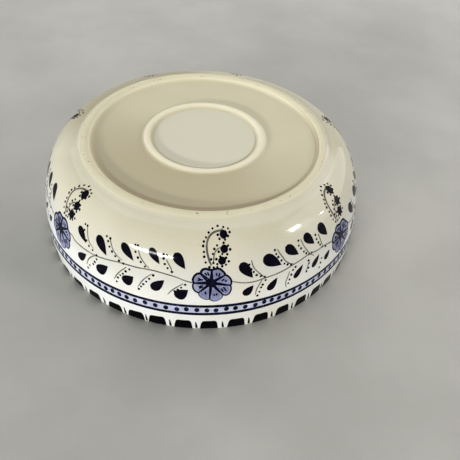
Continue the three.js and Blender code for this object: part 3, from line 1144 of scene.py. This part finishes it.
class Finish:
    """A new material with its place wires ready."""

    def __init__(self, name, **values):
        self.material = bpy.data.materials.new(name)
        self.material.use_nodes = True
        tree = self.material.node_tree
        self.shader = tree.nodes["Principled BSDF"]
        for socket, value in values.items():
            self.shader.inputs[socket.replace("_", " ")].default_value = value
        start = Wire(tree, None)
        self.place = start.node("TexCoord", {}, output="Object")
        self.tree = tree
        parts = self.place.node("SeparateXYZ", {"Vector": self.place}, output="X").socket.node
        self.x, self.y, self.height = (Wire(tree, parts.outputs[axis]) for axis in "XYZ")
        self.radius = (self.x * self.x + self.y * self.y) ** 0.5

    def noise(self, scale, detail, roughness=0.55):
        return self.place.node("TexNoise", {"Vector": self.place, "Scale": scale, "Detail": detail,
                                            "Roughness": roughness})

    def drive(self, socket, wire):
        self.tree.links.new(wire.socket, self.shader.inputs[socket])

    def bump(self, height, distance, strength):
        inputs = {"Height": height, "Distance": distance, "Strength": strength}
        self.drive("Normal", height.node("Bump", inputs, output="Normal"))

    def waver(self, scale=45, distance=0.00025):
        """The slow unevenness of poured glass, which bends reflections a little."""
        self.bump(self.noise(scale, 2), distance, 0.35)

    def on(self, *pieces):
        for piece in pieces:
            piece.data.materials.clear()
            piece.data.materials.append(self.material)
        print(self.material.name, "with", len(self.tree.nodes), "nodes on", len(pieces), "pieces")


print("middle grey on a screen is", round(srgb(128, 128, 128)[0], 3), "in a shader")

# %% [markdown]
# ## Glass outside
# The outside glass is a warm cream on the shoulder and whiter down the wall, with slow clouds and a
# few iron specks in it. Painted shade makes it darker and browner on the back-left of the shoulder,
# and on the foot ring it gets the colour of the clay that it ends on. One flat colour would look like
# plastic, so each of these is a mask over the one before.

# %% Outside glass
WHITE_GLASS = srgb(243, 244, 240)
PALE_GLASS = srgb(221, 220, 211)
CREAM_GLASS = srgb(213, 206, 178)
CLOUDY_GLASS = srgb(226, 219, 196)
# painted shade colour for the back-left of the shoulder
BACK_LEFT_SHADE_GLASS = srgb(180, 169, 137)
FOOT_GLASS = srgb(226, 218, 189)
IRON_SPECK = srgb(150, 130, 96)

cream = Finish("cream_glass")
cloud = cream.noise(22, 4)
speck = cream.noise(900, 2, 0.4).between(0.72, 0.76)
up_wall = cream.height.between(0.03, 0.047)
up_shoulder = cream.height.between(0.045, 0.072)
# painted shade: the upper shoulder darker and browner towards the back left
back_left_shade = ((cream.y - cream.x) / cream.radius).between(0.85, 1.3) * cream.height.between(0.05, 0.068)
crest = cream.height.between(0.0746, 0.0764) * (1 - cream.radius.between(0.0955, 0.097))

base = up_wall.blend(WHITE_GLASS, PALE_GLASS)
base = up_shoulder.blend(base, CREAM_GLASS)
base = (cloud.between(0.35, 0.7) * 0.5).blend(base, CLOUDY_GLASS)
base = (back_left_shade * 0.9).blend(base, BACK_LEFT_SHADE_GLASS)
base = crest.blend(base, FOOT_GLASS)
cream.drive("Base Color", (speck * 0.35).blend(base, IRON_SPECK))
cream.drive("Roughness", 0.05 + cloud * 0.05)
cream.waver()
cream.on(outside_glass, lip_glass)

# %% [markdown]
# ## Glass under the bowl
# Under the bowl the glass is more beige and half matt. It is greyer on the disc inside the small ring
# and paler where it ran off the two raised rings. Painted shade makes it browner and darker: a soft
# crescent in the hollow inside the foot ring and a dark line at the inside of the small ring, both on
# the near and right sides, and the near-left half of the recess.

# %% Underside glass
BEIGE_GLASS = srgb(213, 204, 172)
DEEP_BEIGE_GLASS = srgb(205, 196, 162)
DISC_GLASS = srgb(217, 212, 187)
RAISED_GLASS = srgb(240, 232, 204)
RAISED_FOOT_GLASS = srgb(228, 220, 190)
# the next three colours are painted shade
SHADED_GLASS = srgb(186, 174, 140)
FOOT_CREASE_SHADE_GLASS = srgb(140, 118, 84)
SMALL_RING_SHADE_GLASS = srgb(150, 130, 96)
RIGHT_SHIFT = 0.0038

beige = Finish("beige_glass")
cloud = beige.noise(26, 4)
raised = beige.height.between(0.0733, 0.0757)
disc = 1 - beige.radius.between(0.0375, 0.0395)
# a mask for the near and right sides, where shade is painted into the hollows
near_right_shade_side = (beige.x * 0.45 - beige.y) / beige.radius
# painted shade: a mask for the near-left side of the recess
near_left_shade_side = (beige.x * -0.5 - beige.y) / beige.radius
reach = beige.radius - (beige.x / beige.radius).between(0.3, 0.95) * RIGHT_SHIFT
# painted shade: a dark brown crescent in the hollow inside the foot ring
foot_crease_shade = reach.within(0.0785, 0.0808, 0.0832, 0.0852) * near_right_shade_side.between(-0.4, 0.6)
# painted shade: a dark line at the inner foot of the small ring
small_ring_crease_shade = beige.radius.within(0.0375, 0.0384, 0.0387, 0.0398) * near_right_shade_side.between(0, 0.8)

base = (cloud.between(0.35, 0.7) * 0.5).blend(BEIGE_GLASS, DEEP_BEIGE_GLASS)
base = disc.blend(base, DISC_GLASS)
base = raised.blend(base, RAISED_GLASS)
base = (raised * beige.radius.between(0.06, 0.08)).blend(base, RAISED_FOOT_GLASS)
# painted shade: the near-left half of the recess darker
base = (near_left_shade_side.between(-0.5, 1.1) * (1 - disc) * (1 - raised)).blend(base, SHADED_GLASS)
base = (foot_crease_shade * 0.6).blend(base, FOOT_CREASE_SHADE_GLASS)
base = (small_ring_crease_shade * 0.45).blend(base, SMALL_RING_SHADE_GLASS)
beige.drive("Base Color", base)
beige.drive("Roughness", 0.34 + cloud * 0.12)
beige.waver(40, 0.0003)
beige.on(under_glass)

# %% [markdown]
# ## Glass inside
# The inside lies on the floor here, out of the light. Such bowls are coated inside with the same
# glass, left plain, so it needs only slow clouds and the waver of poured glass.

# %% Inside glass
plain = Finish("inside_glass", Roughness=0.1)
cloud = plain.noise(20, 4)
plain.drive("Base Color", cloud.between(0.3, 0.7).blend(srgb(226, 220, 198), srgb(232, 228, 210)))
plain.waver()
plain.on(inside_glass)

# %% [markdown]
# ## Bare clay
# The top of the foot ring was wiped before firing, so its clay is matt, grainy to the finger and a
# shade warmer than the glass, with brown specks where iron burned out and grey scuffs from tables.

# %% Bare clay
FIRED_CLAY = srgb(219, 210, 176)
PALE_CLAY = srgb(229, 221, 189)
SCUFFED_CLAY = srgb(176, 170, 156)
BURNT_SPECK = srgb(120, 96, 66)

clay = Finish("bare_clay")
grain = clay.noise(1600, 3)
speck = clay.noise(420, 2, 0.4).between(0.69, 0.73)
scuff = clay.noise(60, 3).between(0.6, 0.75)
base = clay.noise(90, 3).blend(FIRED_CLAY, PALE_CLAY)
base = (scuff * 0.35).blend(base, SCUFFED_CLAY)
clay.drive("Base Color", (speck * 0.8).blend(base, BURNT_SPECK))
clay.drive("Roughness", 0.55 + grain * 0.25)
clay.bump(grain, 0.00008, 0.5)
clay.on(*clay_pieces)

# %% [markdown]
# ## Colours under the glass
# Cobalt paint is nearly black where the brush left much of it and blue or grey where it is thin, so
# noise runs between a dark and a light tone. It lies under the glass and is as smooth, but with full
# gloss the black marks came out grey under these lamps. So its specular level is low, and highlights
# are fainter on it than on the glass.

# %% Paint
THIN_PAINT = (0.4, 0.75)


def paint(name, dark, light, scale, *pieces, shine=0.06):
    finish = Finish(name, Roughness=0.08, Specular_IOR_Level=shine)
    finish.drive("Base Color", finish.noise(scale, 3).between(*THIN_PAINT).blend(dark, light))
    finish.waver()
    finish.on(*pieces)


paint("black_cobalt", srgb(4, 3, 12), srgb(12, 10, 28), 220, leaves, curl_dots, curl_berries, sprig_dots)
paint("black_border", srgb(3, 3, 6), srgb(9, 8, 14), 180, lip_blocks, lip_ticks, shine=0.02)
paint("dark_cobalt", srgb(5, 5, 18), srgb(18, 20, 50), 260, flower_lines, flower_stars)
paint("band_cobalt", srgb(6, 6, 20), srgb(30, 34, 72), 160, band_upper_line, band_lower_line, band_dots)
paint("faint_cobalt", srgb(66, 76, 104), srgb(104, 114, 136), 200, flower_faint_lines)
paint("pale_lavender", srgb(150, 148, 176), srgb(176, 174, 198), 240, flower_loops)
paint("lavender_wash", srgb(122, 126, 160), srgb(156, 164, 188), 150, flower_wash)
paint("band_lavender", srgb(186, 190, 212), srgb(212, 216, 228), 130, band_wash)
paint("grey_line", srgb(92, 90, 82), srgb(138, 135, 121), 120, vine_lines, curl_stems)

# %% [markdown]
# ## The floor
# The bowl lies on a plain pale floor, a plane much wider than the view. It is stage and not part of
# the object. Slow noise keeps its tone from looking cut out of paper.

# %% Floor
FLOOR_WIDTH = 6

bpy.ops.mesh.primitive_plane_add(size=FLOOR_WIDTH, location=(0, 0, 0))
floor = bpy.context.object
floor.name = "floor"
stone = Finish("pale_floor", Roughness=0.6)
stone.drive("Base Color", stone.noise(9, 4).between(0.3, 0.7).blend(srgb(176, 174, 166), srgb(188, 186, 178)))
stone.on(floor)

# %% [markdown]
# ## Light
# Glass shows its lamps, so a studio lights it with softboxes, each at an angle round the bowl from the
# camera's side and a height above the floor, in degrees. A low, wide one far off at the left draws the
# white streak over the upper leaves. A small one at the right, with a faint glow round it and a tiny
# one beside it, draws the spots on the right shoulder. Four large ones fill in from the two sides,
# from behind and from above. The left and the back one don't mirror in the glass. The world is grey
# and dim, and paler only where the camera or a reflection sees it.

# %% Light
def softbox(name, angle, height, distance, width, tall, watts):
    """A lamp seen from the bowl at an angle round it and a height above the floor, in degrees."""
    turn, lift = radians(angle), radians(height)
    away = Vector((sin(turn) * cos(lift), -cos(turn) * cos(lift), sin(lift)))
    facing = away.to_track_quat("Z", "Y").to_euler()
    bpy.ops.object.light_add(type="AREA", location=away * distance, rotation=facing)
    lamp = bpy.context.object
    lamp.name = name
    lamp.data.shape = "RECTANGLE"
    lamp.data.size = width
    lamp.data.size_y = tall
    lamp.data.energy = watts
    return lamp


# Each has its angle and height, its distance, width and height in metres, and its watts.
softbox("low_window", -32, 11.8, 8.0, 4.0, 0.3, 530)
left_wall = softbox("left_wall", -100, 18, 2.4, 3.5, 1.4, 26)
softbox("right_window", 67, 28, 1.5, 0.2, 0.2, 3.2)
softbox("right_glow", 70, 25, 1.5, 0.5, 0.4, 0.7)
softbox("right_spot", 88, 17, 1.5, 0.05, 0.05, 0.4)
softbox("right_wall", 105, 27, 2.2, 3.0, 2.0, 22)
back_wall = softbox("back_wall", 185, 28, 2.5, 5.0, 2.0, 29)
softbox("ceiling", 180, 62, 1.8, 2.2, 1.6, 12)

COOL_LIGHT = (0.86, 0.94, 1)
left_wall.data.color = COOL_LIGHT
left_wall.visible_glossy = False
back_wall.visible_glossy = False

# %% World
PALE_WALL = 0.5
GREY_FILL = 0.03
SKY_TINT = (0.96, 0.98, 1, 1)

sky = bpy.data.worlds.new("grey_sky")
scene.world = sky
sky.use_nodes = True
seen = Wire(sky.node_tree, None).node("LightPath", {}, output="Is Camera Ray")
rays = seen.socket.node.outputs
for ray in ("Is Glossy Ray", "Is Transmission Ray"):
    seen = seen.maths("MAXIMUM", seen, Wire(sky.node_tree, rays[ray]))
background = sky.node_tree.nodes["Background"]
background.inputs["Color"].default_value = SKY_TINT
sky.node_tree.links.new((seen * (PALE_WALL - GREY_FILL) + GREY_FILL).socket, background.inputs["Strength"])
